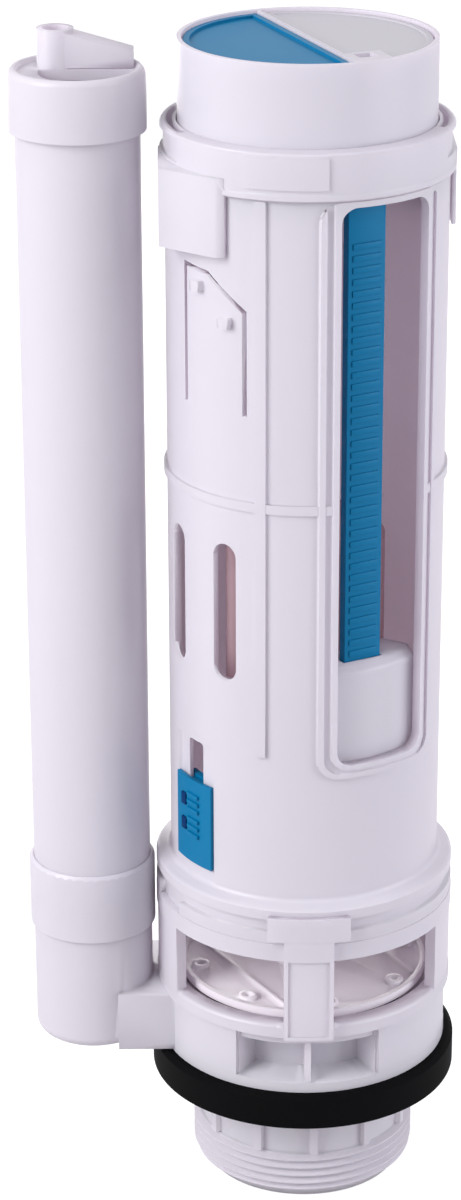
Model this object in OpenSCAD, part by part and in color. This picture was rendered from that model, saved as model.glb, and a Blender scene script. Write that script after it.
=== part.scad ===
// Dual flush valve for a toilet tank, with a bayonet tower, a split push button and an overflow pipe.
// Origin: on the valve's axis, on the tank floor under the gasket. +Z up, the overflow pipe on the -X side.
// Azimuths are in degrees from the front (-Y), growing towards +X.

/* [Outlet] */
// Radius of the tail at the root of its thread
tail_r = 28.3; // [27:0.1:29.5]
// Length of the tail below the tank floor
tail_len = 28.7; // [24:0.5:40]
// Radius of the outlet bore
bore_r = 23.8; // [22:0.1:24.5]
// Length of the threaded end of the tail
thread_len = 13.8; // [8:0.1:20]
// Thickness of the rubber gasket on the tank floor
gasket_t = 9.6; // [6:0.2:11]
// Outer radius of the gasket
gasket_r = 40.8; // [39.5:0.1:43]

/* [Cage] */
// Outer radius of the cage's top ring and of the tower's foot
cage_r = 39.3; // [38.6:0.1:43]
// Height of the drum below the cage, from the gasket to the sill
drum_h = 20.4; // [18:0.2:24]
// Height of the cage's windows
window_h = 18.8; // [16:0.2:24]
// Azimuth where the cage's side walls begin, from the front
wall_az = 61; // [52:1:68]

/* [Tower] */
// Outer radius of the tower
tower_r = 35.35; // [34.9:0.05:35.6]
// Wall thickness of the tower
wall = 2; // [1.8:0.1:2.1]
// Height of the tower's top end above the tank floor
tower_top = 249.8; // [240:0.2:300]
// Height of the shoulder above the tower's bottom end
foot_h = 10.2; // [9.5:0.1:12]

/* [Overflow] */
// Gap between the cage and the overflow pipe's coupling
pipe_gap = 0.4; // [0.3:0.1:6]
// Outer radius of the overflow pipe
pipe_r = 15.5; // [14:0.1:17]
// Height of the pipe's top end above the tank floor
pipe_top = 270.8; // [200:0.2:320]
// Outer radius of the hose nipple on the pipe's cap
nipple_r = 4.6; // [3.5:0.1:5]

/* [Head] */
// How far the button housing stands in from the tower's face
head_step = 3.25; // [3:0.05:3.6]
// Height of the button housing
head_h = 32.2; // [32:0.1:36]
// Turn of the split button about the axis
head_turn = 21; // [15:1:24]

/* [Mechanism] */
// Travel of each button
press = 5.5; // [4:0.1:5.6]
// Lever arm from the pivot to the button's foot
outer_arm = 11; // [10.5:0.1:11.4]
// Radius of the valve stem
stem_r = 4.65; // [4:0.05:5]
// Radius of the lever pins
pin_r = 2; // [1.6:0.1:2.2]
// Radius of the main float
float_r = 20.5; // [14:0.5:21]
// Travel of the flush volume slider
slider_travel = 11; // [6:0.5:11]
// Azimuth of the scale bar
bar_az = 27.5; // [25:0.5:29]

/* [Hidden] */
$fn = 96;
eps = 0.01;
// Reach of a cutting shape past the part
far = 60;
// Gap between moving pieces
gap = 0.4;
// Radial running gap of a pin or the stem in its bore
run = 0.05;

white = "#ece9f2";
blue = "#1c79ad";
grey = "#c9c7cf";
black = "#141416";

// Heights of the base
flange_t = 2.8;
flange_z = gasket_t;
deck_z = flange_z + drum_h - 3.7;
sill_z = flange_z + drum_h;
ring_z = sill_z + window_h;
ring_h = 4.8;
cage_top = ring_z + ring_h;
deck_t = 2.2;
// Well inside the sill, with the raised seat on its floor
seat_drop = 3.2;
seat_rise = 1.3;
seat_z = sill_z - seat_drop;
well_z = seat_z - seat_rise;
well_low = well_z - deck_t;

// Radii of the base
drum_r = cage_r - 1.1;
sill_r = cage_r;
sill_edge = 0.9;
sill_in = cage_r - 4.4;
well_r = sill_in + 1.6;
seat_r = bore_r + 2.8;
counter_r = bore_r + 0.5;
throat_r = tail_r;
ring_r = cage_r + 0.1;
ring_in = cage_r - 3.4;

// Tail: plain neck with ribs, then the thread's root and its lead in
neck_r = tail_r - 0.4;
thread_z = thread_len - tail_len;
lead_len = 4.7;
lead_in = 2;
tail_rib_count = 12;
tail_rib_h = 1.3;

// Front and back hooks that hold the tower's foot
post_az = 9;
hook_az = 15;
hook_z = cage_top + 1.7;
hook_h = 6.6;
hook_t = 1.8;
lip_z = hook_z + 2.1;
lip_h = 2.6;
lip_r = cage_r - 1;
release_az = -68;

// Duct and elbow to the overflow pipe
elbow_r = pipe_r + 0.3;
elbow_z = flange_z + 0.8;
elbow_top = ring_z + 1;
elbow_bore = pipe_r - 1.9;
elbow_round = 3;
duct_w = 2 * pipe_r + 0.2;
duct_top = deck_z + 0.6;
duct_wall = 2.4;
seal_t = 2.5;
sleeve_r = pipe_r + 1.2;
pipe_x = ring_r + pipe_gap + sleeve_r;
duct_x = pipe_x - 6.6;
sleeve_z = elbow_top - 6.9;
sleeve_top = elbow_top + 12.3;
pipe_in = pipe_r - 1.4;
cap_r = pipe_r + 1.6;
cap_skirt = 11.6;
cap_z = pipe_top - cap_skirt;
cap_top = pipe_top + 3.8;
mouth_r = 11.7;
mouth_x = 2.2;
mouth_y = -0.7;
nipple_x = -5.2;
nipple_y = 6;
nipple_top = cap_top + 8.3;
nipple_wall = 1.4;
hood_w = 8;

// Tower
tower_z = cage_top + 0.1;
shoulder_z = tower_z + foot_h;
tower_in = tower_r - wall;
deck_top_t = 3;
ledge_w = 1.9;
ledge_z = tower_z + 0.3;
ledge_t = 2.4;
window_az = 31.6;
window_w = 25.4;
window_z = shoulder_z + 38.4;
window_top = tower_top - 1.7;
rib_h = 0.9;
frame_w = 4.5;
groove_h = 0.2;
rib_az = [-22.6, -18];
slot_w = 6.9;
slot_z = window_z + 21.3;
slot_len = 36.8;
tongue_az = -43;
tongue_z = tower_top - 55;

// Flush volume slider
slide_az = -56;
slide_half = 12.2;
slide_z = shoulder_z + 4.6;
slide_h = 23.6;
shank_w = 5.4;
shank_z = slide_z + 11;
shank_h = slide_h - 11.7;
slide_face = tower_r + 0.75;

// Collar and head
head_r = tower_r - head_step;
head_wall = 1.2;
collar_r = tower_r + 1.15;
collar_h = 11.9;
skirt_r = head_r + 2.1;
skirt_t = 2.2;
lug_r = tower_r + 2.75;
lug_in = tower_r + gap;
lug_z = tower_top - 15.1;
lug_top = tower_top + 4.4;
lug_az = [-93, -35];
lug_face_az = -37;
lug_side = tower_r + 1.45;
lug_chamfer = 1.5;
pocket_az = [-113, -62];
tooth_az = -55;
head_in = head_r - head_wall;
head_top = tower_top + head_h;
pad_r = head_in - gap;
pad_top = head_top - 0.8;
pad_t = 1.7;
rib_half = 0.6;
notch_x = 9.8;
notch_y = -20.5;
notch_t = 2.4;

// Levers
pivot_z = tower_top + 10;
foot_room = 3.9;
foot_x = head_in - foot_room;
inner_arm = foot_x - outer_arm;
pivot_x = inner_arm;
lift = press * inner_arm / outer_arm;
tip_r = 1.8;
hub_r = pin_r + 1.6;
foot_gap = 0.4;
lift_gap = 0.5;
foot_half = 2.1;
foot_w = 8;
foot_z = pivot_z + tip_r + foot_gap;
cross_z = pivot_z + tip_r + lift_gap;
cross_t = 3;
frame_t = 1.8;
ear_t = 2.5;
ear_half = 3.4;
prong_in = stem_r + 2.35;
prong_out = prong_in + 3;
half_in = [-19, -13];

// Valve
washer_t = 2;
plate_z = seat_z + washer_t;
plate_t = 1.2;
plate_r = sill_in - 2;
washer_w = 9.5;
washer_r = plate_r - 1.9;
washer_in = washer_r - washer_w;
retainer_r = bore_r - 0.6;
retainer_t = 1.6;
bore_top = seat_z - retainer_t - gap;
plate_hub_h = 10;
boss_ring = plate_r - 4.6;
boss_count = 8;
boss_az = 12;
chord_az = -60;
chord_d = 19.3;
stem_top = cross_z + cross_t + 0.6;
divider_z = stem_top + lift + gap;
main_float_z = shoulder_z + 29;
main_float_h = 68;
guide_z = ledge_z + ledge_t;
guide_h = 5;

// Scale bar and half flush cup
bar_w = 10.4;
bar_t = 2.6;
bar_front = head_in - 1.5;
bar_z = window_z - 0.4;
hook_reach = 12.8;
cup_r = tower_in - 0.75;
cup_in = float_r + 2;
cup_z = window_z - 2.4;
cup_h = 26.1;
cup_wall = 1.4;
cup_az = [2, 57];
cup_top = cup_z + cup_h;
cup_lip = 0.3;
cup_crown = 2.2;
carriage_wall = 1.5;

// Shapes that repeat

module tube(r, r_in, z0, z1) {
  difference() {
    translate([0, 0, z0]) cylinder(r = r, h = z1 - z0);
    translate([0, 0, z0 - 1]) cylinder(r = r_in, h = z1 - z0 + 2);
  }
}

// A piece of a ring between two azimuths
module sector(r_in, r, z0, z1, az0, az1) {
  rotate([0, 0, az0 - 90])
    rotate_extrude(angle = az1 - az0)
      translate([r_in, z0]) square([r - r_in, z1 - z0]);
}

// Turns what faces the front to an azimuth
module at_az(az) {
  rotate([0, 0, az]) children();
}

// A flat outline in X and Z, swept outwards from the axis between two distances
module radial(d0, d1) {
  translate([0, -d0, 0]) rotate([90, 0, 0]) linear_extrude(d1 - d0) children();
}

module box(x, y, z) {
  translate([x[0], y[0], z[0]]) cube([x[1] - x[0], y[1] - y[0], z[1] - z[0]]);
}

module rounded(w, z0, z1, r) {
  translate([-w / 2 + r, z0]) square([w - 2 * r, z1 - z0]);
  translate([-w / 2, z0 + r]) square([w, z1 - z0 - 2 * r]);
  for (x = [-w / 2 + r, w / 2 - r], z = [z0 + r, z1 - r])
    translate([x, z]) circle(r);
}

module stadium(w, z0, z1) {
  translate([-w / 2, z0 + w / 2]) square([w, z1 - z0 - w]);
  for (z = [z0 + w / 2, z1 - w / 2])
    translate([0, z]) circle(w / 2);
}

module in_head() {
  rotate([0, 0, head_turn]) children();
}

module on_pipe() {
  translate([-pipe_x, 0, 0]) children();
}

// Base with its tail, cage, duct and elbow, one moulding

module base_profile() {
  polygon([[bore_r, -tail_len], [tail_r - lead_in, -tail_len], [tail_r, lead_len - tail_len],
    [tail_r, thread_z], [neck_r, thread_z], [neck_r, flange_z],
    [drum_r, flange_z], [drum_r, flange_z + flange_t], [throat_r, flange_z + flange_t],
    [throat_r, well_low], [well_r, well_low], [well_r, deck_z],
    [sill_r, deck_z], [sill_r, sill_z - sill_edge], [sill_r - sill_edge, sill_z],
    [sill_in, sill_z], [sill_in, well_z], [seat_r + 0.5, well_z], [seat_r, seat_z],
    [counter_r, seat_z], [counter_r, bore_top], [bore_r, bore_top]]);
}

// Front face of the two posts
post_r = cage_r + gap + hook_t - 0.1;

// Side view of a post with the inward lip that holds the tower's foot
module post_profile() {
  back = cage_r + gap + 0.1;
  front = post_r;
  top = hook_z + hook_h - 0.3;
  polygon([[ring_in + 0.5, deck_z + 0.4], [front, deck_z + 0.4], [front, top], [back, top],
    [back, lip_z + lip_h], [lip_r, lip_z + lip_h], [lip_r, lip_z], [back, lip_z], [back, cage_top - 0.2],
    [ring_in + 0.5, cage_top - 0.2]]);
}

module cage() {
  tube(ring_r, ring_in, ring_z, cage_top);
  for (side = [0, 180]) at_az(side) {
    sector(ring_in + 0.3, sill_r - 0.2, sill_z - sill_edge - 1, ring_z + 1, wall_az, 180 - wall_az);
    difference() {
      rotate([0, 0, -post_az - 90]) rotate_extrude(angle = 2 * post_az) post_profile();
      sector(post_r - 0.6, post_r + 1, deck_z + 1.4, ring_z + 0.8, 1.5 - post_az, post_az - 1.5);
    }
    sector(cage_r + gap, cage_r + gap + hook_t, hook_z, hook_z + hook_h, -hook_az, hook_az);
  }
}

module drum_panels() {
  top = deck_z + 1;
  low = flange_z + 1;
  half_rib = 0.8;
  for (side = [0, 180]) at_az(side) {
    sector(drum_r - 2, drum_r - 0.1, low, top, 29.5, 150.5);
    for (rib = [[-30, 1], [0, 0.4], [30, 1]])
      at_az(rib[0]) {
        box([-half_rib, half_rib], [rib[1] - drum_r, 1 - throat_r], [low, well_low + 1]);
        box([-half_rib, half_rib], [rib[1] - drum_r, 0.8 - well_r], [low, top]);
      }
  }
}

module tail_ribs() {
  for (i = [0 : tail_rib_count - 1])
    at_az(4 + i * 360 / tail_rib_count)
      box([-1, 1], [-tail_r - tail_rib_h, 1 - neck_r], [thread_z + gap, -0.2]);
}

module elbow_outside() {
  on_pipe() rotate_extrude() {
    translate([0, elbow_z]) square([elbow_r - elbow_round, elbow_top - elbow_z]);
    translate([0, elbow_z + elbow_round]) square([elbow_r, elbow_top - elbow_z - elbow_round]);
    translate([elbow_r - elbow_round, elbow_z + elbow_round]) circle(elbow_round);
  }
  box([-duct_x, -throat_r + 2], [-duct_w / 2, duct_w / 2], [elbow_z, duct_top]);
}

module elbow_inside() {
  floor_z = elbow_z + duct_wall;
  on_pipe() translate([0, 0, floor_z]) cylinder(r = elbow_bore, h = elbow_top);
  half = duct_w / 2 - duct_wall - 1;
  box([-pipe_x, -bore_r + 4], [-half, half], [floor_z, well_low + 0.3]);
}

module base_seat() {
  color(white) difference() {
    union() {
      rotate_extrude() base_profile();
      cage();
      drum_panels();
      tail_ribs();
      difference() {
        elbow_outside();
        translate([0, 0, deck_z + eps]) cylinder(r = sill_r - 0.5, h = far);
        translate([0, 0, well_low + 1]) cylinder(r = sill_in + 0.5, h = far);
        translate([0, 0, -1]) cylinder(r = bore_r + 1, h = far);
      }
    }
    elbow_inside();
  }
}

module tank_gasket() {
  in_r = tail_r + 1.7;
  edge = 0.3;
  bevel = 1.2;
  color(black) rotate_extrude()
    polygon([[in_r, 0], [gasket_r - edge, 0], [gasket_r, edge], [gasket_r, gasket_t - bevel],
      [gasket_r - bevel, gasket_t], [in_r, gasket_t]]);
}

// Overflow pipe

module overflow_coupling() {
  step = elbow_top + seal_t;
  color(white) on_pipe() rotate_extrude()
    polygon([[elbow_r + run, sleeve_z], [sleeve_r, sleeve_z], [sleeve_r, sleeve_top - 1],
      [sleeve_r - 0.7, sleeve_top], [pipe_r + run, sleeve_top], [pipe_r + run, step], [elbow_r + run, step]]);
}

module overflow_seal() {
  color(black) on_pipe() tube(elbow_r - run, pipe_in - 0.1, elbow_top, elbow_top + seal_t);
}

module overflow_tube() {
  color(white) on_pipe() tube(pipe_r, pipe_in, elbow_top + seal_t, pipe_top);
}

module hood() {
  translate([0, nipple_y - hood_w / 2, 0]) rotate([90, 0, 180]) mirror([1, 0, 0])
    linear_extrude(hood_w)
      polygon([[nipple_x, cap_top - 1], [pipe_r - 1.5, cap_top - 1], [pipe_r - 1.5, cap_top + 2.7],
        [nipple_x + 2, nipple_top - 0.6], [nipple_x, nipple_top - 0.6]]);
}

module overflow_cap() {
  color(white) on_pipe() difference() {
    union() {
      rotate_extrude()
        polygon([[pipe_r + run, cap_z], [cap_r, cap_z], [cap_r, cap_top - 1.6], [cap_r - 0.5, cap_top - 0.5],
          [cap_r - 1.2, cap_top], [cap_r - 2, cap_top], [cap_r - 2.6, cap_top - 1.2], [0, cap_top - 1.2],
          [0, pipe_top], [pipe_r + run, pipe_top]]);
      translate([nipple_x, nipple_y, pipe_top + 1]) cylinder(r = nipple_r, h = nipple_top - pipe_top - 1);
      hood();
    }
    translate([nipple_x, nipple_y, pipe_top - 1]) cylinder(r = nipple_r - nipple_wall, h = nipple_top);
    intersection() {
      translate([mouth_x, mouth_y, pipe_top - 1]) cylinder(r = mouth_r, h = far);
      box([-far, far], [-far, nipple_y - hood_w / 2 - 0.6], [pipe_top - 2, pipe_top + far]);
    }
  }
}

// Tower

module tower_profile() {
  groove_r = lip_r - gap;
  ledge_in = tower_in - ledge_w;
  deck_low = tower_top - deck_top_t;
  stem_hole = stem_r + gap;
  polygon([[tower_in, tower_z], [cage_r, tower_z], [cage_r, lip_z - gap], [groove_r, lip_z - gap],
    [groove_r, lip_z + lip_h + gap], [cage_r, lip_z + lip_h + gap], [cage_r, shoulder_z - 0.9],
    [cage_r - 0.9, shoulder_z], [tower_r + 1.2, shoulder_z + 0.2], [tower_r, shoulder_z + 1.6],
    [tower_r, tower_top],
    [stem_hole, tower_top], [stem_hole, deck_low], [tower_in, deck_low], [tower_in, ledge_z + ledge_t],
    [ledge_in, ledge_z + ledge_t], [ledge_in, ledge_z], [tower_in, ledge_z]]);
}

module tower_ribs() {
  rib_r = tower_r + rib_h;
  ring_mid = window_z + 69.4;
  tube(rib_r - 0.1, tower_r - 1, ring_mid - 1.2, ring_mid + 1.2);
  for (side = [0, 180])
    sector(tower_r - 1, rib_r, window_z + 2.3, tower_top - 0.3, side + rib_az[0], side + rib_az[1]);
}

// Raised double frame round the window
module window_frame() {
  difference() {
    intersection() {
      tube(tower_r + rib_h + 0.1, tower_in + 0.5, window_z - 4, tower_top - 0.2);
      at_az(window_az) radial(10, far)
        rounded(window_w + 2 * frame_w, window_z - 3.4, window_top + 1.4, 5);
    }
    difference() {
      at_az(window_az) radial(10, far) difference() {
        rounded(window_w + 2 * frame_w - 2.6, window_z - 2.2, tower_top + 9, 4.6);
        rounded(window_w + 2.8, window_z - 1.2, tower_top + 10, 4.4);
      }
      translate([0, 0, window_z - 5]) cylinder(r = tower_r + groove_h, h = tower_top);
    }
  }
}

// The flexible tongue's slit, as an outline around the tongue
module tongue_slit() {
  side = 10.2;
  peak = tongue_z + 36;
  low = tongue_z + 26.8;
  slit = 1.2;
  difference() {
    polygon([[-side, tongue_z], [side, tongue_z], [side, low], [-1, peak - 0.8], [-side, peak]]);
    polygon([[-side + slit, tongue_z - 1], [side - slit, tongue_z - 1], [side - slit, low - slit / 2],
      [-1.4, peak - 0.8 - slit], [-side + slit, peak - slit]]);
  }
}

module tower_openings() {
  inside = tower_in - 2.9;
  outside = cage_r + 5;
  at_az(window_az) radial(inside, outside) rounded(window_w, window_z, window_top, 4);
  for (az = [-37, -67])
    at_az(az) radial(inside, outside) stadium(slot_w, slot_z, slot_z + slot_len);
  at_az(tongue_az) radial(inside, outside) tongue_slit();
  for (side = [0, 180])
    at_az(side + tooth_az) radial(inside, outside) rounded(9, lug_z + 2.6, lug_z + 6.6, 0.5);
  at_az(slide_az) radial(inside, outside)
    rounded(shank_w + 0.8, shank_z - gap, shank_z + shank_h + slider_travel + gap, 1);
  at_az(bar_az)
    box([-bar_w / 2 - gap, bar_w / 2 + gap], [-bar_front - gap, -bar_front + bar_t + gap],
      [tower_top - deck_top_t - 1, tower_top + 1]);
  sector(slide_face - 1.2 - gap, far, slide_z - gap, slide_z + slide_h + slider_travel + gap,
    slide_az - slide_half - 0.6, slide_az + slide_half + 0.6);
}

module tower_body() {
  color(white) {
    difference() {
      union() {
        rotate_extrude() tower_profile();
        tower_ribs();
        window_frame();
      }
      tower_openings();
      for (side = [0, 180])
        sector(lip_r - gap - 0.2, far, tower_z - 1, lip_z + lip_h,
          side + release_az - post_az - 1, side + release_az + post_az + 1);
    }
    for (nub = [[-50, 31], [-35.5, 23.4]])
      at_az(nub[0])
        radial(tower_r - 1, tower_r + 1.6) rounded(3.4, tongue_z + nub[1] - 1.4, tongue_z + nub[1] + 1.4, 0.6);
  }
}

module stem_guide() {
  r = tower_in - run;
  color(white) difference() {
    union() {
      tube(r, r - 2.2, guide_z, guide_z + guide_h);
      translate([0, 0, guide_z]) cylinder(r = stem_r + 3, h = guide_h + 6);
      for (i = [0 : 3])
        rotate([0, 0, 45 + i * 90]) box([stem_r + 1, r - 1], [-1, 1], [guide_z, guide_z + guide_h]);
    }
    translate([0, 0, guide_z - 1]) cylinder(r = stem_r + run, h = guide_h + 10);
  }
}

// One snap lug of the collar, with two flat faces and a chamfered end
module collar_lug() {
  side = lug_chamfer * sqrt(2);
  z = [lug_z - 1, lug_top + 1];
  difference() {
    intersection() {
      sector(lug_in, far, lug_z, lug_top, lug_az[0], lug_az[1]);
      box([-lug_side, far], [-far, far], z);
      at_az(lug_face_az) box([-far, far], [-lug_r, far], z);
    }
    at_az(lug_az[1]) translate([0, -lug_r, 0]) rotate([0, 0, 45])
      box([-side / 2, side / 2], [-side / 2, side / 2], z);
  }
}

// Collar that clamps the head on the tower, with two snap lugs
module lock_collar() {
  z1 = tower_top + collar_h;
  tooth_in = tower_r - wall / 2;
  color(white) {
    difference() {
      rotate_extrude()
        polygon([[skirt_r + 0.2, tower_top], [collar_r, tower_top], [collar_r + 0.4, tower_top + 0.5],
          [collar_r + 0.4, tower_top + 1.5], [collar_r, tower_top + 2], [collar_r, z1 - 0.6],
          [collar_r - 0.6, z1], [head_r + 0.3, z1], [head_r + 0.3, tower_top + skirt_t + 0.1],
          [skirt_r + 0.2, tower_top + skirt_t + 0.1]]);
      for (side = [0, 180]) {
        sector(collar_r - 0.9, collar_r + 2, lug_top + 0.5, z1 - 1.2, side + pocket_az[0], side + pocket_az[1]);
        sector(head_r + 1.2, collar_r - 1.8, z1 - 3, z1 + 1, side + pocket_az[0] + 4, side + pocket_az[1] - 4);
      }
    }
    for (side = [0, 180]) at_az(side) {
      sector(collar_r - 1, collar_r + 0.5, tower_top + 3, z1 - 1, -26, 6);
      collar_lug();
      sector(tooth_in, lug_r - 0.5, lug_z + 3, lug_z + 6.2, tooth_az - 5, tooth_az + 5);
    }
  }
}

// Head with its split button and levers

module head_housing() {
  guide = [foot_x - foot_half - 2.2, head_in + 0.5];
  z0 = foot_z + 4.8;
  color(white) difference() {
    union() {
      tube(head_r, head_in, tower_top, head_top);
      tube(skirt_r, head_in, tower_top, tower_top + skirt_t);
      intersection() {
        translate([0, 0, tower_top]) cylinder(r = head_in + 0.5, h = head_h - 0.3);
        in_head() union() {
          box([-rib_half, rib_half], [-far, far], [divider_z, head_top]);
          box([0, notch_x], [-far, notch_y], [pad_top - notch_t, head_top]);
          for (side = [0, 1]) mirror([side, 0, 0])
            box(guide, [-foot_w / 2 - 3, foot_w / 2 + 3], [z0, z0 + 4]);
        }
      }
    }
    in_head() box([2.4, 6.8], [notch_y - 5.4, notch_y - 1.5], [pad_top - notch_t + 1, head_top + 1]);
    in_head() for (side = [0, 1]) mirror([side, 0, 0])
      box([foot_x - foot_half - gap, foot_x + foot_half + gap], [-foot_w / 2 - gap, foot_w / 2 + gap],
        [z0 - 1, z0 + 5]);
  }
}

module lever_ear(x, y) {
  translate([x, y, 0]) difference() {
    union() {
      box([-ear_half, ear_half], [-ear_t / 2, ear_t / 2], [tower_top + 0.5, pivot_z]);
      translate([0, ear_t / 2, pivot_z]) rotate([90, 0, 0]) cylinder(r = ear_half, h = ear_t);
    }
    translate([0, ear_t, pivot_z]) rotate([90, 0, 0]) cylinder(r = pin_r + run / 2, h = 2 * ear_t);
  }
}

// Hub ends of the two levers along the pins
full_hub = [-prong_out - 0.4, prong_out + 0.4];
half_hub = [half_in[0] - 0.4, foot_w / 2 + 1];
ear_step = ear_t / 2 + 0.4;

module lever_frame() {
  color(white) in_head() {
    difference() {
      translate([0, 0, tower_top]) cylinder(r = head_in - 0.6, h = frame_t);
      translate([0, 0, tower_top - 1]) cylinder(r = stem_r + 3, h = 5);
      rotate([0, 0, bar_az - head_turn])
        box([-bar_w / 2 - 1, bar_w / 2 + 1], [-far, -bar_front + bar_t + 1], [tower_top - 1, tower_top + 5]);
    }
    lever_ear(pivot_x, full_hub[0] - ear_step);
    lever_ear(pivot_x, full_hub[1] + ear_step);
    lever_ear(-pivot_x, half_hub[0] - ear_step);
    lever_ear(-pivot_x, half_hub[1] + ear_step);
  }
}

module lever_pin(x, hub) {
  over = ear_step + ear_t / 2 + 0.5;
  translate([x, hub[1] + over, pivot_z]) rotate([90, 0, 0])
    cylinder(r = pin_r, h = hub[1] - hub[0] + 2 * over);
}

module lever_pins() {
  color("silver") in_head() {
    lever_pin(pivot_x, full_hub);
    lever_pin(-pivot_x, half_hub);
  }
}

// One lever arm with a round tip, along X from the pivot
module lever_arm(reach, y0, y1) {
  box([min(0, reach), max(0, reach)], [y0, y1], [-1.6, 1.6]);
  translate([reach, y1, 0]) rotate([90, 0, 0]) cylinder(r = tip_r, h = y1 - y0);
}

module lever(hub, inner) {
  difference() {
    union() {
      translate([0, hub[1], 0]) rotate([90, 0, 0]) cylinder(r = hub_r, h = hub[1] - hub[0]);
      lever_arm(outer_arm, -foot_w / 2, foot_w / 2);
      for (arm = inner) lever_arm(-inner_arm, arm[0], arm[1]);
    }
    translate([0, hub[1] + 1, 0]) rotate([90, 0, 0]) cylinder(r = pin_r + run, h = hub[1] - hub[0] + 2);
  }
}

module full_lever() {
  color(white) in_head() translate([pivot_x, 0, pivot_z])
    lever(full_hub, [[prong_in, prong_out], [-prong_out, -prong_in]]);
}

module half_lever() {
  color(white) in_head() translate([-pivot_x, 0, pivot_z]) mirror([1, 0, 0])
    lever(half_hub, [half_in]);
}

// Half of a round pad on the +X side of the split, dished, with a foot that presses its lever
module pad(dish) {
  edge = rib_half + 0.5;
  difference() {
    translate([0, 0, pad_top - pad_t]) cylinder(r = pad_r, h = pad_t);
    box([-far, edge], [-far, far], [pad_top - 5, pad_top + 1]);
    difference() {
      translate([0, 0, pad_top - dish]) cylinder(r = pad_r - 1.6, h = 2);
      box([-far, edge + 1.6], [-far, far], [pad_top - 5, pad_top + 3]);
    }
  }
  box([foot_x - foot_half, foot_x + foot_half], [-foot_w / 2, foot_w / 2], [foot_z, pad_top - dish - 0.5]);
}

module half_button() {
  color(blue) in_head() mirror([1, 0, 0]) pad(0.7);
}

module full_button() {
  color(grey) in_head() difference() {
    pad(0.4);
    box([-1, notch_x + 0.5], [-far, notch_y + 0.5], [pad_top - 5, pad_top + 1]);
  }
}

// Valve: stem, crosshead, float, plate and seal

module valve_stem() {
  color(white) translate([0, 0, plate_z]) cylinder(r = stem_r, h = stem_top - plate_z);
}

module stem_crosshead() {
  color(white) difference() {
    union() {
      translate([0, 0, cross_z]) cylinder(r = stem_r + 1.6, h = cross_t + 0.6);
      in_head() box([-2.5, 4.5], [-prong_out - 1, prong_out + 1], [cross_z, cross_z + cross_t]);
    }
    translate([0, 0, cross_z - 1]) cylinder(r = stem_r + run / 2, h = 10);
  }
}

module main_float() {
  color(white) difference() {
    translate([0, 0, main_float_z]) rotate_extrude()
      polygon([[0, 0], [float_r - 2, 0], [float_r, 2], [float_r, main_float_h - 8],
        [stem_r + 4, main_float_h], [0, main_float_h]]);
    translate([0, 0, main_float_z - 1]) cylinder(r = stem_r + run / 2, h = main_float_h + 2);
  }
}

module valve_plate() {
  color(white) difference() {
    union() {
      translate([0, 0, plate_z]) cylinder(r = plate_r, h = plate_t);
      tube(plate_r, plate_r - 1.3, plate_z, plate_z + plate_t + 1);
      translate([0, 0, plate_z]) cylinder(r = stem_r + 3.2, h = plate_hub_h);
      for (side = [0, 180])
        at_az(chord_az + side)
          box([-24, 24], [-chord_d - 0.6, -chord_d + 0.6], [plate_z, plate_z + plate_t + 0.8]);
      for (i = [0 : boss_count - 1])
        at_az(boss_az + i * 360 / boss_count)
          translate([0, -boss_ring, plate_z]) cylinder(r = 2.4, h = plate_t + 1.2);
    }
    translate([0, 0, plate_z - 1]) cylinder(r = stem_r + run / 2, h = plate_hub_h + 2);
    for (i = [0 : boss_count - 1])
      at_az(boss_az + i * 360 / boss_count)
        translate([0, -boss_ring, plate_z + 0.8]) cylinder(r = 1.1, h = 5);
  }
}

module valve_seal() {
  color("#55565c") tube(washer_r, washer_in, seat_z, plate_z);
}

module seal_retainer() {
  color(white) {
    translate([0, 0, seat_z - retainer_t]) cylinder(r = retainer_r, h = retainer_t);
    translate([0, 0, seat_z - 0.1]) cylinder(r = washer_in - run, h = washer_t + 0.1);
  }
}

// Scale bar with the half flush cup

module scale_bar() {
  color(blue) at_az(bar_az)
    box([-bar_w / 2, bar_w / 2], [-bar_front, -bar_front + bar_t], [bar_z, cross_z]);
}

module bar_hook() {
  color(blue) at_az(bar_az)
    box([-bar_w / 2, bar_w / 2], [-bar_front, -hook_reach], [cross_z, cross_z + cross_t]);
}

module cup_profile() {
  crown_r = bar_front + gap + 0.6;
  polygon([[cup_in, cup_z], [cup_r, cup_z], [cup_r, cup_top - 1.5], [cup_r + cup_lip, cup_top - 1.2],
    [cup_r + cup_lip, cup_top], [crown_r, cup_top + cup_crown], [cup_in, cup_top + cup_crown]]);
}

// Air cup, open below, with a sleeve that holds the scale bar
module float_cup() {
  half = bar_w / 2 + gap + carriage_wall;
  span = cup_az[1] - cup_az[0];
  end_az = asin(cup_wall / cup_in);
  color(white) difference() {
    union() {
      difference() {
        rotate([0, 0, cup_az[0] - 90]) rotate_extrude(angle = span) cup_profile();
        sector(cup_in + cup_wall, cup_r - cup_wall, cup_z - 1, cup_top - cup_wall,
          cup_az[0] + end_az, cup_az[1] - end_az);
      }
      intersection() {
        at_az(bar_az) box([-half, half],
          [-bar_front - gap - carriage_wall, -bar_front + bar_t + gap + carriage_wall],
          [cup_z + 0.5, cup_top]);
        translate([0, 0, cup_z]) cylinder(r = cup_r - 0.2, h = cup_h);
      }
    }
    at_az(bar_az) box([-bar_w / 2 - gap, bar_w / 2 + gap], [-bar_front - gap, -bar_front + bar_t + gap],
      [cup_z - 1, cup_top + cup_crown + 1]);
  }
}

// Slider that sets the flush volume, clipped through a slot in the tower

module shank(grow) {
  at_az(slide_az)
    box([-shank_w / 2 - grow, shank_w / 2 + grow], [-slide_face + 0.6, -tower_in + 2],
      [shank_z - grow, shank_z + shank_h + grow]);
}

module flush_slider() {
  color(blue) {
    sector(slide_face - 1.2, slide_face, slide_z, slide_z + slide_h, slide_az - slide_half, slide_az + slide_half);
    shank(0);
  }
}

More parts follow.
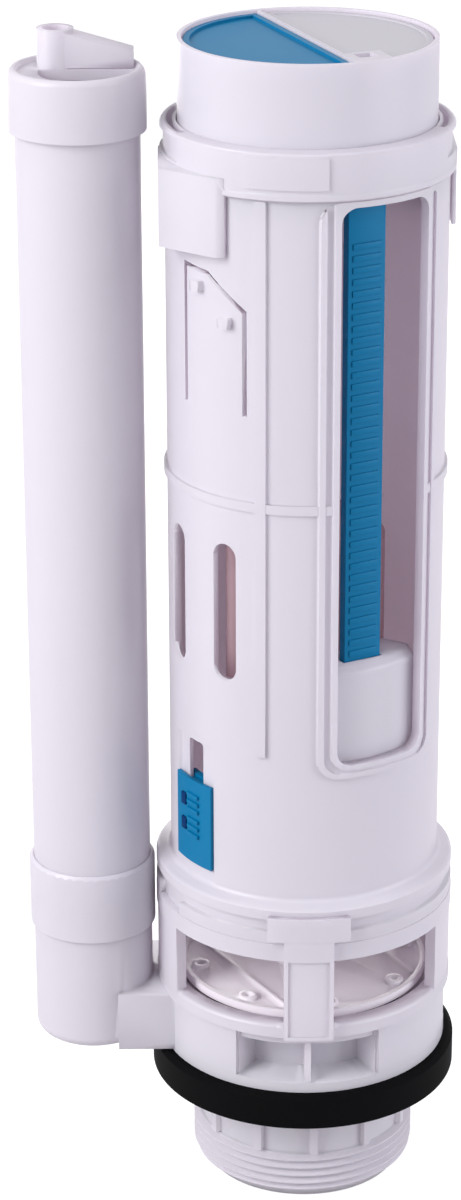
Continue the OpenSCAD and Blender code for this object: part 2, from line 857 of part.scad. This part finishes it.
module slider_keeper() {
  color(blue) difference() {
    sector(tower_in - 2, tower_in - gap, slide_z + 3, slide_z + slide_h, slide_az - 10, slide_az + 10);
    shank(run);
  }
}

base_seat();
tank_gasket();
overflow_coupling();
overflow_seal();
overflow_tube();
overflow_cap();
tower_body();
stem_guide();
lock_collar();
head_housing();
lever_frame();
lever_pins();
half_button();
full_button();
half_lever();
full_lever();
valve_stem();
stem_crosshead();
main_float();
valve_plate();
valve_seal();
seal_retainer();
scale_bar();
bar_hook();
float_cup();
flush_slider();
slider_keeper();
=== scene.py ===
"""Looks of a dual flush valve for a toilet tank: moulded white shells, a blue scale bar and a split button.

Lengths are in metres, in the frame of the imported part: +Z up, the tank floor at zero.
"""

import math

import bpy
from mathutils import Matrix, Vector


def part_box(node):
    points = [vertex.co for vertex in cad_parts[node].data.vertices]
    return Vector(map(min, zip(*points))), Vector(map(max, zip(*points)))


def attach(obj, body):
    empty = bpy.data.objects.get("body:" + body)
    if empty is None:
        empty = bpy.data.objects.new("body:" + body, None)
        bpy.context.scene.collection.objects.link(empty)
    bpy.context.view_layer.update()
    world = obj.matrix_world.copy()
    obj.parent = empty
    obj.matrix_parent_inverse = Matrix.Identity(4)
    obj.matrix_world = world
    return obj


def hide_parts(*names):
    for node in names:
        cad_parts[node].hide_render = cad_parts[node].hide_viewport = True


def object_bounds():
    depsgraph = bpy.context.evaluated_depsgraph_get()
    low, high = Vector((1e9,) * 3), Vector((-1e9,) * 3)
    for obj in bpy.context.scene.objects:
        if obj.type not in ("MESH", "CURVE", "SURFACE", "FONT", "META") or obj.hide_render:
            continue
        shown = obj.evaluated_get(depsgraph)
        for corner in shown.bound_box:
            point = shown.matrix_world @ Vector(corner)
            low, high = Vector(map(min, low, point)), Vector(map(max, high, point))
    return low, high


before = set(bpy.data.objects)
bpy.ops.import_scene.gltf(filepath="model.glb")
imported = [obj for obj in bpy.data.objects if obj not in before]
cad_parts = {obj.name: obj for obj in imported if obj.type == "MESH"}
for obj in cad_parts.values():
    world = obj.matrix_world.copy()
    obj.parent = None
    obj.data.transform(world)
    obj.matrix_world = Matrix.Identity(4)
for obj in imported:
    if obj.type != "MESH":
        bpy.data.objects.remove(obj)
CAD_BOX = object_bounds()
MM = 0.001

bl_info = {
    "name": "Flush valve looks",
    "version": (1, 0, 0),
    "blender": (4, 5, 0),
    "location": "View3D > Sidebar > Flush valve",
    "description": "Mouldings, thread, scale ridges, slider marks, finishes and stage of a flush valve",
    "category": "Object",
}

# Body that each visible moulding rides on, its finish and its added edge radius in millimetres
MOULDINGS = {
    "base_seat": ("base", "white", 0.0),
    "overflow_coupling": ("base", "white", 0.1),
    "overflow_tube": ("base", "white", 0.2),
    "overflow_cap": ("base", "white", 0.0),
    "tank_gasket": ("base", "rubber", 0.2),
    "tower_body": ("tower", "white", 0.0),
    "lock_collar": ("tower", "white", 0.0),
    "head_housing": ("tower", "white", 0.1),
    "half_button": ("half_button", "blue", 0.05),
    "full_button": ("full_button", "grey", 0.1),
    "scale_bar": ("bar", "blue", 0.2),
    "float_cup": ("cup", "white", 0.0),
    "flush_slider": ("slider", "blue", 0.2),
    "valve_plate": ("valve", "plate", 0.0),
}

# Finish of the pieces that stay as the frame has them; the inner finish's pinkish brown is painted shade
INNER_FINISH = {
    "overflow_seal": "rubber",
    "stem_guide": "inner",
    "lever_frame": "inner",
    "lever_pins": "steel",
    "half_lever": "inner",
    "full_lever": "inner",
    "valve_stem": "inner",
    "stem_crosshead": "inner",
    "main_float": "inner",
    "valve_seal": "rubber",
    "seal_retainer": "inner",
    "bar_hook": "blue",
    "slider_keeper": "blue",
}

# Name, drift of tint, roughness, scale and bump of the grain, and what differs from plain plastic
FINISHES = {
    "white": ("White moulding", 0.03, 0.32, 1500.0, 0.12, {"through": 0.33}),
    # The inner finish's tint is painted shade
    "inner": ("Inner moulding", 0.10, 0.5, 1500.0, 0.15, {"through": 0.36}),
    "blue": ("Blue moulding", 0.12, 0.42, 1300.0, 0.2, {"specular": 0.15}),
    # The slider's squares carry painted shade of recesses
    "mark": ("Slider mark", 0.12, 0.5, 1300.0, 0.2, {"specular": 0.1}),
    "grey": ("Grey pad", 0.05, 0.45, 1200.0, 0.25, {}),
    # The plate's tint is partly painted light
    "plate": ("Valve plate", 0.08, 0.42, 1500.0, 0.15, {}),
    "rubber": ("Black rubber", 0.5, 0.75, 900.0, 0.5, {"specular": 0.05}),
    "steel": ("Pin steel", 0.1, 0.3, 2500.0, 0.1, {"metallic": 1.0}),
}

# Vertices closer than this are one
WELD = 0.002 * MM

# Edges sharper than the first are rounded, and those sharper than the others are shaded as edges
ROUND_ANGLE = math.radians(35.0)
SHARP_ANGLE = math.radians(38.0)
THREAD_ANGLE = math.radians(30.0)

# Edge radii of the scale bar's ridges and the slider's marks
RIDGE_EDGE = 0.1 * MM
MARK_EDGE = 0.2 * MM

# Height of the grain on the mouldings, and the tint of light that comes through a thin wall
GRAIN_DEPTH = 0.05 * MM
WARMTH = (1.0, 0.88, 0.89)


# Properties

def colour(name, description, value):
    return bpy.props.FloatVectorProperty(
        name=name, description=description, subtype="COLOR", size=3, min=0.0, max=1.0, default=value
    )


def length(name, description, value):
    return bpy.props.FloatProperty(
        name=name, description=description, subtype="DISTANCE", unit="LENGTH", default=value
    )


def angle(name, description, degrees):
    return bpy.props.FloatProperty(
        name=name, description=description, subtype="ANGLE", default=math.radians(degrees)
    )


def number(name, description, value, unit="NONE"):
    return bpy.props.FloatProperty(name=name, description=description, unit=unit, default=value)


class ValveFinish(bpy.types.PropertyGroup):
    """Colours of the valve's plastics and rubbers."""

    white: colour("White moulding", "Colour of the outer shells", (0.825, 0.82, 0.88))
    # Painted shade: the pieces inside the tower are white plastic, tinted pinkish brown for the warm shade
    # inside it
    inner: colour("Inner moulding", "Colour of the pieces inside the tower", (0.74, 0.55, 0.59))
    blue: colour("Blue moulding", "Colour of the half button, scale bar and slider", (0.001, 0.165, 0.345))
    grey: colour("Grey pad", "Colour of the full button", (0.52, 0.505, 0.55))
    # Partly painted light: the plate is white plastic, set lighter than the outer shells to make up for the
    # shade under the drum's roof
    plate: colour("Valve plate", "Colour of the plate over the outlet", (0.9, 0.86, 0.91))
    rubber: colour("Rubber", "Colour of the gasket and seals", (0.002, 0.002, 0.0025))
    # Painted shade: the slider's two squares are raised and dark blue where the slider has shaded recesses
    mark: colour("Slider mark", "Colour of the dark squares on the slider", (0.001, 0.03, 0.12))
    steel: colour("Pin steel", "Colour of the lever pins", (0.56, 0.56, 0.58))


class ValveDetail(bpy.types.PropertyGroup):
    """Sizes of the details that the looks add."""

    thread_pitch: length("Thread pitch", "Distance between the tail's thread ridges", 2.309 * MM)
    thread_crest: length("Thread crest", "Radius of the thread's ridges", 29.8 * MM)
    thread_root: length("Thread root", "Radius of the tail under the thread", 28.3 * MM)
    thread_top: length("Thread top", "Height where the thread begins", -14.9 * MM)
    lead_length: length("Lead length", "Height of the taper at the tail's end", 4.7 * MM)
    lead_in: length("Lead in", "How far the tail narrows at its end", 2.0 * MM)
    thread_sink: length("Thread sink", "How far the thread reaches into the tail", 0.6 * MM)
    thread_start: length("Thread start", "Height of the thread's start above the tail's end", 0.4 * MM)
    ridge_pitch: length("Ridge pitch", "Distance between the scale bar's ridges", 2.95 * MM)
    ridge_height: length("Ridge height", "How far a ridge stands out of the scale bar", 0.34 * MM)
    ridge_width: length("Ridge width", "Width of a ridge across the scale bar", 8.0 * MM)
    ridge_depth: length("Ridge depth", "Height of one ridge along the scale bar", 1.5 * MM)
    ridge_low: length("Lowest ridge", "Height of the lowest ridge above the cup", 2.0 * MM)
    ridge_top: length("Ridge top", "Height where the ridges end", 241.0 * MM)
    bar_face: length("Bar face", "Distance of the scale bar's front from the axis", 29.4 * MM)
    slider_face: length("Slider face", "Radius of the slider's outer face", 36.1 * MM)
    bar_turn: angle("Bar turn", "Azimuth of the scale bar", 27.5)
    slider_turn: angle("Slider turn", "Azimuth of the slider", -56.0)


class ValveStage(bpy.types.PropertyGroup):
    """Camera, lamps and backdrop."""

    camera_place: bpy.props.FloatVectorProperty(
        name="Camera place", description="Where the camera stands", subtype="TRANSLATION", size=3,
        default=(-0.03071, -0.82165, 0.46652),
    )
    yaw: angle("Yaw", "Turn of the camera to the right", 0.794)
    pitch: angle("Pitch", "Tilt of the camera downwards", 22.036)
    roll: angle("Roll", "Roll of the camera", -0.2035)
    lens: number("Lens", "Focal length in millimetres", 102.58, "CAMERA")
    key: number("Key lamp", "Power of the key lamp in watts", 14.0, "POWER")
    fill: number("Fill lamp", "Power of the fill lamp in watts", 7.2, "POWER")
    top: number("Top lamp", "Power of the top lamp in watts", 0.6, "POWER")
    back: number("Back lamp", "Power of the back lamp in watts", 3.0, "POWER")
    ambient: number("Ambient", "Strength of the light all round", 0.56)


# Mesh helpers

def pick_only(obj):
    bpy.ops.object.select_all(action="DESELECT")
    obj.select_set(True)
    bpy.context.view_layer.objects.active = obj


def edit(obj):
    pick_only(obj)
    bpy.ops.object.mode_set(mode="EDIT")
    bpy.ops.mesh.select_all(action="SELECT")


def leave_edit():
    bpy.ops.object.mode_set(mode="OBJECT")


def apply_modifier(obj, modifier):
    pick_only(obj)
    bpy.ops.object.modifier_apply(modifier=modifier.name)


def settle(obj):
    """Puts the object's place into its mesh."""
    pick_only(obj)
    bpy.ops.object.transform_apply(location=True, rotation=True, scale=True)


def round_edges(obj, radius):
    modifier = obj.modifiers.new("Rounded edges", "BEVEL")
    modifier.width = radius
    modifier.segments = 2
    modifier.limit_method = "ANGLE"
    modifier.angle_limit = ROUND_ANGLE
    modifier.use_clamp_overlap = False
    apply_modifier(obj, modifier)


def smooth(obj, corner=SHARP_ANGLE):
    pick_only(obj)
    bpy.ops.object.shade_smooth_by_angle(angle=corner)


def even_shading(obj):
    """Lets the large faces set the normals, so that narrow faces leave no streaks on them."""
    modifier = obj.modifiers.new("Even shading", "WEIGHTED_NORMAL")
    modifier.keep_sharp = True
    apply_modifier(obj, modifier)


def true_rounds(obj):
    """Gives the walls that are round about the valve's axis the normals of a true cylinder."""
    nearest = 0.001 * MM
    even = 0.01 * MM
    radial = 0.98
    mesh = obj.data
    normals = [corner.vector.copy() for corner in mesh.corner_normals]
    for face in mesh.polygons:
        radii = [mesh.vertices[index].co.xy.length for index in face.vertices]
        middle = face.center.xy
        facing = face.normal.xy.dot(middle) / max(middle.length, nearest)
        if max(radii) - min(radii) > even or abs(facing) < radial:
            continue
        for corner, index in zip(face.loop_indices, face.vertices):
            out = mesh.vertices[index].co.xy.normalized() * math.copysign(1.0, facing)
            normals[corner] = Vector((out.x, out.y, 0.0))
    mesh.normals_split_custom_set(normals)


def outwards(obj):
    """Closes open ends and turns all faces outwards."""
    edit(obj)
    bpy.ops.mesh.remove_doubles(threshold=WELD)
    bpy.ops.mesh.fill_holes(sides=4)
    bpy.ops.mesh.normals_make_consistent(inside=False)
    leave_edit()


def dress(obj, kind, body):
    obj.data.materials.clear()
    obj.data.materials.append(finish(kind))
    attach(obj, body)


def new_block(name, size, place):
    """A plain block, to be finished by its caller."""
    bpy.ops.object.select_all(action="DESELECT")
    bpy.ops.mesh.primitive_cube_add(size=1.0, location=place)
    block = bpy.context.active_object
    block.name = name
    block.data.name = name
    block.scale = size
    settle(block)
    return block


# Finishes

def moulded_skin():
    """Node group: slow drift of tint and gloss over a moulding, and the fine grain of its mould."""
    name = "Moulded skin"
    if name in bpy.data.node_groups:
        return bpy.data.node_groups[name]
    group = bpy.data.node_groups.new(name, "ShaderNodeTree")
    face = group.interface
    for label, kind, default in (
        ("Vector", "NodeSocketVector", None),
        ("Colour", "NodeSocketColor", (0.8, 0.8, 0.8, 1.0)),
        ("Drift", "NodeSocketFloat", 0.04),
        ("Roughness", "NodeSocketFloat", 0.4),
        ("Grain", "NodeSocketFloat", 1800.0),
    ):
        socket = face.new_socket(label, in_out="INPUT", socket_type=kind)
        if default is not None:
            socket.default_value = default
    face.new_socket("Colour", in_out="OUTPUT", socket_type="NodeSocketColor")
    face.new_socket("Roughness", in_out="OUTPUT", socket_type="NodeSocketFloat")
    face.new_socket("Height", in_out="OUTPUT", socket_type="NodeSocketFloat")
    nodes = group.nodes
    links = group.links
    source = nodes.new("NodeGroupInput")
    sink = nodes.new("NodeGroupOutput")
    drift = nodes.new("ShaderNodeTexNoise")
    drift.inputs["Scale"].default_value = 22.0
    drift.inputs["Detail"].default_value = 3.0
    links.new(source.outputs["Vector"], drift.inputs["Vector"])
    grain = nodes.new("ShaderNodeTexNoise")
    grain.inputs["Detail"].default_value = 2.0
    links.new(source.outputs["Vector"], grain.inputs["Vector"])
    links.new(source.outputs["Grain"], grain.inputs["Scale"])
    centred = nodes.new("ShaderNodeMath")
    centred.operation = "SUBTRACT"
    centred.inputs[1].default_value = 0.5
    links.new(drift.outputs["Fac"], centred.inputs[0])
    shade = nodes.new("ShaderNodeMath")
    shade.operation = "MULTIPLY_ADD"
    shade.inputs[2].default_value = 1.0
    links.new(centred.outputs[0], shade.inputs[0])
    links.new(source.outputs["Drift"], shade.inputs[1])
    tint = nodes.new("ShaderNodeVectorMath")
    tint.operation = "SCALE"
    links.new(source.outputs["Colour"], tint.inputs[0])
    links.new(shade.outputs[0], tint.inputs["Scale"])
    links.new(tint.outputs[0], sink.inputs["Colour"])
    gloss = nodes.new("ShaderNodeMath")
    gloss.operation = "MULTIPLY_ADD"
    gloss.inputs[1].default_value = 0.12
    links.new(centred.outputs[0], gloss.inputs[0])
    links.new(source.outputs["Roughness"], gloss.inputs[2])
    links.new(gloss.outputs[0], sink.inputs["Roughness"])
    links.new(grain.outputs["Fac"], sink.inputs["Height"])
    return group


def moulded(name, tint, drift, roughness, grain, bump, specular=0.5, metallic=0.0, through=0.0):
    """A material whose colour, gloss and grain come from the moulded skin.

    Where through is above zero, thin walls let that share of the light pass, a little warmer.
    """
    if name in bpy.data.materials:
        return bpy.data.materials[name]
    material = bpy.data.materials.new(name)
    material.use_nodes = True
    nodes = material.node_tree.nodes
    links = material.node_tree.links
    surface = nodes["Principled BSDF"]
    surface.inputs["Specular IOR Level"].default_value = specular
    surface.inputs["Metallic"].default_value = metallic
    place = nodes.new("ShaderNodeTexCoord")
    skin = nodes.new("ShaderNodeGroup")
    skin.node_tree = moulded_skin()
    skin.inputs["Colour"].default_value = (*tint, 1.0)
    skin.inputs["Drift"].default_value = drift
    skin.inputs["Roughness"].default_value = roughness
    skin.inputs["Grain"].default_value = grain
    links.new(place.outputs["Object"], skin.inputs["Vector"])
    links.new(skin.outputs["Colour"], surface.inputs["Base Color"])
    links.new(skin.outputs["Roughness"], surface.inputs["Roughness"])
    relief = nodes.new("ShaderNodeBump")
    relief.inputs["Strength"].default_value = bump
    relief.inputs["Distance"].default_value = GRAIN_DEPTH
    links.new(skin.outputs["Height"], relief.inputs["Height"])
    links.new(relief.outputs["Normal"], surface.inputs["Normal"])
    if through > 0.0:
        passing = nodes.new("ShaderNodeBsdfTranslucent")
        warm = [share * warmth for share, warmth in zip(tint, WARMTH)]
        passing.inputs["Color"].default_value = (*warm, 1.0)
        mix = nodes.new("ShaderNodeMixShader")
        mix.inputs["Fac"].default_value = through
        links.new(surface.outputs["BSDF"], mix.inputs[1])
        links.new(passing.outputs["BSDF"], mix.inputs[2])
        links.new(mix.outputs["Shader"], nodes["Material Output"].inputs["Surface"])
    return material


def finish(kind):
    name, drift, roughness, grain, bump, special = FINISHES[kind]
    tint = getattr(bpy.context.scene.valve_finish, kind)
    return moulded(name, tint, drift, roughness, grain, bump, **special)


# Pieces

class VALVE_OT_mouldings(bpy.types.Operator):
    """Evenly shaded copies of the outer mouldings, some with soft edges, each in its frame piece's place"""

    bl_idname = "valve.mouldings"
    bl_label = "Mouldings"

    def execute(self, context):
        for node, (body, kind, radius) in MOULDINGS.items():
            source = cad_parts[node]
            piece = source.copy()
            piece.data = source.data.copy()
            piece.name = node + "_moulding"
            piece.data.name = piece.name
            context.collection.objects.link(piece)
            piece.parent = None
            piece.matrix_world = Matrix.Identity(4)
            edit(piece)
            bpy.ops.mesh.remove_doubles(threshold=WELD)
            leave_edit()
            if radius > 0.0:
                round_edges(piece, radius * MM)
            smooth(piece)
            even_shading(piece)
            true_rounds(piece)
            dress(piece, kind, body)
            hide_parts(node)
        return {"FINISHED"}


class VALVE_OT_inner_finishes(bpy.types.Operator):
    """Finishes on the pieces that stay as the frame has them"""

    bl_idname = "valve.inner_finishes"
    bl_label = "Inner finishes"

    def execute(self, context):
        for node, kind in INNER_FINISH.items():
            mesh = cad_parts[node].data
            mesh.materials.clear()
            mesh.materials.append(finish(kind))
        return {"FINISHED"}


class VALVE_OT_tail_thread(bpy.types.Operator):
    """Thread ridge that winds round the tail and tapers with its lead in"""

    bl_idname = "valve.tail_thread"
    bl_label = "Tail thread"

    def execute(self, context):
        detail = context.scene.valve_detail
        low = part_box("base_seat")[0][2]
        pitch = detail.thread_pitch
        steps = 72
        turns = int((detail.thread_top - low) / pitch)
        bpy.ops.object.select_all(action="DESELECT")
        bpy.ops.mesh.primitive_plane_add(size=1.0)
        thread = context.active_object
        thread.name = "tail_thread"
        thread.data.name = "tail_thread"
        bottom = low + detail.thread_start
        root = detail.thread_root - detail.thread_sink
        crest = detail.thread_crest
        flat = 0.08 * pitch
        section = (
            (root, bottom),
            (crest, bottom + 0.5 * pitch - flat),
            (crest, bottom + 0.5 * pitch + flat),
            (root, bottom + pitch),
        )
        order = sorted(thread.data.vertices, key=lambda v: (round(v.co.x, 3), v.co.y))
        ring = (order[0], order[2], order[3], order[1])
        for vertex, (radius, height) in zip(ring, section):
            vertex.co = (radius, 0.0, height)
        modifier = thread.modifiers.new("Winding", "SCREW")
        modifier.axis = "Z"
        modifier.screw_offset = pitch
        modifier.iterations = turns
        modifier.steps = steps
        modifier.render_steps = steps
        modifier.use_merge_vertices = True
        modifier.merge_threshold = 0.001 * MM
        apply_modifier(thread, modifier)
        knee = low + detail.lead_length
        slope = detail.lead_in / detail.lead_length
        for vertex in thread.data.vertices:
            inset = max(0.0, knee - vertex.co.z) * slope
            radius = math.hypot(vertex.co.x, vertex.co.y)
            factor = (radius - inset) / radius
            vertex.co.x *= factor
            vertex.co.y *= factor
        outwards(thread)
        smooth(thread, THREAD_ANGLE)
        dress(thread, "white", "base")
        return {"FINISHED"}


class VALVE_OT_scale_ridges(bpy.types.Operator):
    """Row of fine ridges across the scale bar's front"""

    bl_idname = "valve.scale_ridges"
    bl_label = "Scale ridges"

    def execute(self, context):
        detail = context.scene.valve_detail
        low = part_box("float_cup")[1][2] + detail.ridge_low
        size = (detail.ridge_width, 2.0 * detail.ridge_height, detail.ridge_depth)
        ridges = new_block("scale_ridges", size, (0.0, -detail.bar_face, low))
        round_edges(ridges, RIDGE_EDGE)
        row = ridges.modifiers.new("Row", "ARRAY")
        row.use_relative_offset = False
        row.use_constant_offset = True
        row.constant_offset_displace = (0.0, 0.0, detail.ridge_pitch)
        row.count = int((detail.ridge_top - low) / detail.ridge_pitch)
        apply_modifier(ridges, row)
        ridges.rotation_euler = (0.0, 0.0, detail.bar_turn)
        settle(ridges)
        smooth(ridges)
        dress(ridges, "blue", "bar")
        return {"FINISHED"}


class VALVE_OT_slider_marks(bpy.types.Operator):
    """Plain raised bars and two squares on the slider that show its setting; the squares' dark blue is
    painted shade of recesses
    """

    bl_idname = "valve.slider_marks"
    bl_label = "Slider marks"

    def row(self, name, drops, middle, width, height, proud):
        """Joined marks, with lengths in millimetres and each drop measured from the slider's top."""
        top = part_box("flush_slider")[1][2]
        detail = bpy.context.scene.valve_detail
        marks = None
        for drop in drops:
            place = (middle * MM, -detail.slider_face, top - drop * MM)
            bar = new_block(name, (width * MM, 2.0 * proud * MM, height * MM), place)
            round_edges(bar, MARK_EDGE)
            if marks is None:
                marks = bar
                continue
            pick_only(marks)
            bar.select_set(True)
            bpy.ops.object.join()
        marks.rotation_euler = (0.0, 0.0, detail.slider_turn)
        settle(marks)
        smooth(marks)
        return marks

    def execute(self, context):
        drops = (4.2, 6.3, 8.4, 11.2, 13.3, 15.4)
        bars = self.row("slider_bars", drops, middle=0.9, width=4.8, height=1.0, proud=0.6)
        dress(bars, "blue", "slider")
        # Raised squares in painted shade, standing in for the slider's shaded recesses
        drops = (6.3, 13.3)
        squares = self.row("slider_squares", drops, middle=-3.2, width=2.0, height=3.4, proud=0.4)
        dress(squares, "mark", "slider")
        return {"FINISHED"}


# Stage

def lamp(name, place, aim, size, power, tint):
    data = bpy.data.lights.new(name, "AREA")
    data.shape = "RECTANGLE"
    data.size = size[0]
    data.size_y = size[1]
    data.energy = power
    data.color = tint
    obj = bpy.data.objects.new(name, data)
    obj.location = place
    obj.rotation_euler = (Vector(aim) - Vector(place)).to_track_quat("-Z", "Y").to_euler()
    bpy.context.collection.objects.link(obj)


def seen_directly(nodes, links):
    """One for rays from the camera, mirrors and clear pieces, zero for light that only falls on things."""
    path = nodes.new("ShaderNodeLightPath")
    either = nodes.new("ShaderNodeMath")
    either.operation = "MAXIMUM"
    links.new(path.outputs["Is Camera Ray"], either.inputs[0])
    links.new(path.outputs["Is Transmission Ray"], either.inputs[1])
    mirrored = nodes.new("ShaderNodeMath")
    mirrored.operation = "MAXIMUM"
    links.new(either.outputs[0], mirrored.inputs[0])
    links.new(path.outputs["Is Glossy Ray"], mirrored.inputs[1])
    return mirrored


def backdrop_world(ambient):
    world = bpy.data.worlds.new("White studio")
    bpy.context.scene.world = world
    world.use_nodes = True
    nodes = world.node_tree.nodes
    links = world.node_tree.links
    nodes.clear()
    light = nodes.new("ShaderNodeBackground")
    light.inputs["Color"].default_value = (0.97, 0.96, 1.0, 1.0)
    light.inputs["Strength"].default_value = ambient
    white = nodes.new("ShaderNodeBackground")
    white.inputs["Color"].default_value = (1.0, 1.0, 1.0, 1.0)
    white.inputs["Strength"].default_value = 1.0
    mix = nodes.new("ShaderNodeMixShader")
    out = nodes.new("ShaderNodeOutputWorld")
    links.new(seen_directly(nodes, links).outputs[0], mix.inputs["Fac"])
    links.new(light.outputs[0], mix.inputs[1])
    links.new(white.outputs[0], mix.inputs[2])
    links.new(mix.outputs[0], out.inputs["Surface"])


def floor_finish():
    """Pale floor that looks white and still takes a soft shadow."""
    material = bpy.data.materials.new("Pale floor")
    material.use_nodes = True
    nodes = material.node_tree.nodes
    links = material.node_tree.links
    nodes.clear()
    plain = nodes.new("ShaderNodeBsdfDiffuse")
    plain.inputs["Color"].default_value = (0.45, 0.45, 0.46, 1.0)
    glow = nodes.new("ShaderNodeEmission")
    glow.inputs["Strength"].default_value = 0.78
    lit = nodes.new("ShaderNodeAddShader")
    links.new(plain.outputs[0], lit.inputs[0])
    links.new(glow.outputs[0], lit.inputs[1])
    mix = nodes.new("ShaderNodeMixShader")
    out = nodes.new("ShaderNodeOutputMaterial")
    links.new(seen_directly(nodes, links).outputs[0], mix.inputs["Fac"])
    links.new(plain.outputs[0], mix.inputs[1])
    links.new(lit.outputs[0], mix.inputs[2])
    links.new(mix.outputs[0], out.inputs["Surface"])
    return material


class VALVE_OT_stage(bpy.types.Operator):
    """Pale floor, soft lamps and the camera at the picture's viewpoint"""

    bl_idname = "valve.stage"
    bl_label = "Stage"

    def execute(self, context):
        stage = context.scene.valve_stage
        context.scene.view_settings.view_transform = "Standard"
        floor_z = CAD_BOX[0][2] - 0.2 * MM
        bpy.ops.object.select_all(action="DESELECT")
        bpy.ops.mesh.primitive_plane_add(size=8.0, location=(0.0, 0.0, floor_z))
        floor = context.active_object
        floor.name = "floor"
        floor.data.materials.append(floor_finish())
        backdrop_world(stage.ambient)
        middle = (-0.02, 0.0, 0.14)
        lamp("key_lamp", (-0.95, -0.55, 0.7), middle, (0.7, 0.9), stage.key, (1.0, 0.985, 1.0))
        lamp("fill_lamp", (1.0, -0.35, 0.4), middle, (0.8, 0.9), stage.fill, (0.96, 0.95, 1.0))
        lamp("top_lamp", (-0.1, 0.25, 1.1), middle, (0.8, 0.6), stage.top, (1.0, 1.0, 1.0))
        lamp("back_lamp", (-0.15, 1.05, 0.13), middle, (0.9, 0.24), stage.back, (1.0, 0.98, 0.98))
        self.add_camera(context, stage)
        return {"FINISHED"}

    def add_camera(self, context, stage):
        data = bpy.data.cameras.new("camera")
        data.lens = stage.lens
        data.sensor_width = 36.0
        data.clip_start = 0.01
        camera = bpy.data.objects.new("camera", data)
        context.collection.objects.link(camera)
        ahead = Vector((
            math.sin(stage.yaw) * math.cos(stage.pitch),
            math.cos(stage.yaw) * math.cos(stage.pitch),
            -math.sin(stage.pitch),
        ))
        level = Vector((math.cos(stage.yaw), -math.sin(stage.yaw), 0.0))
        above = level.cross(ahead)
        right = level * math.cos(stage.roll) + above * math.sin(stage.roll)
        up = above * math.cos(stage.roll) - level * math.sin(stage.roll)
        turn = Matrix((right, up, -ahead)).transposed().to_4x4()
        camera.matrix_world = Matrix.Translation(stage.camera_place) @ turn
        context.scene.camera = camera


class VALVE_PT_looks(bpy.types.Panel):
    """Steps that dress the flush valve, in order"""

    bl_idname = "VALVE_PT_looks"
    bl_label = "Flush valve"
    bl_space_type = "VIEW_3D"
    bl_region_type = "UI"
    bl_category = "Flush valve"

    def draw(self, context):
        for step in STEPS:
            self.layout.operator(step.bl_idname)


STEPS = (
    VALVE_OT_mouldings,
    VALVE_OT_inner_finishes,
    VALVE_OT_tail_thread,
    VALVE_OT_scale_ridges,
    VALVE_OT_slider_marks,
    VALVE_OT_stage,
)
CLASSES = (ValveFinish, ValveDetail, ValveStage, *STEPS, VALVE_PT_looks)


def register():
    for cls in CLASSES:
        bpy.utils.register_class(cls)
    bpy.types.Scene.valve_finish = bpy.props.PointerProperty(type=ValveFinish)
    bpy.types.Scene.valve_detail = bpy.props.PointerProperty(type=ValveDetail)
    bpy.types.Scene.valve_stage = bpy.props.PointerProperty(type=ValveStage)


def unregister():
    del bpy.types.Scene.valve_stage
    del bpy.types.Scene.valve_detail
    del bpy.types.Scene.valve_finish
    for cls in reversed(CLASSES):
        bpy.utils.unregister_class(cls)


def main():
    register()
    bpy.ops.valve.mouldings()
    bpy.ops.valve.inner_finishes()
    bpy.ops.valve.tail_thread()
    bpy.ops.valve.scale_ridges()
    bpy.ops.valve.slider_marks()
    bpy.ops.valve.stage()


if __name__ == "__main__":
    main()
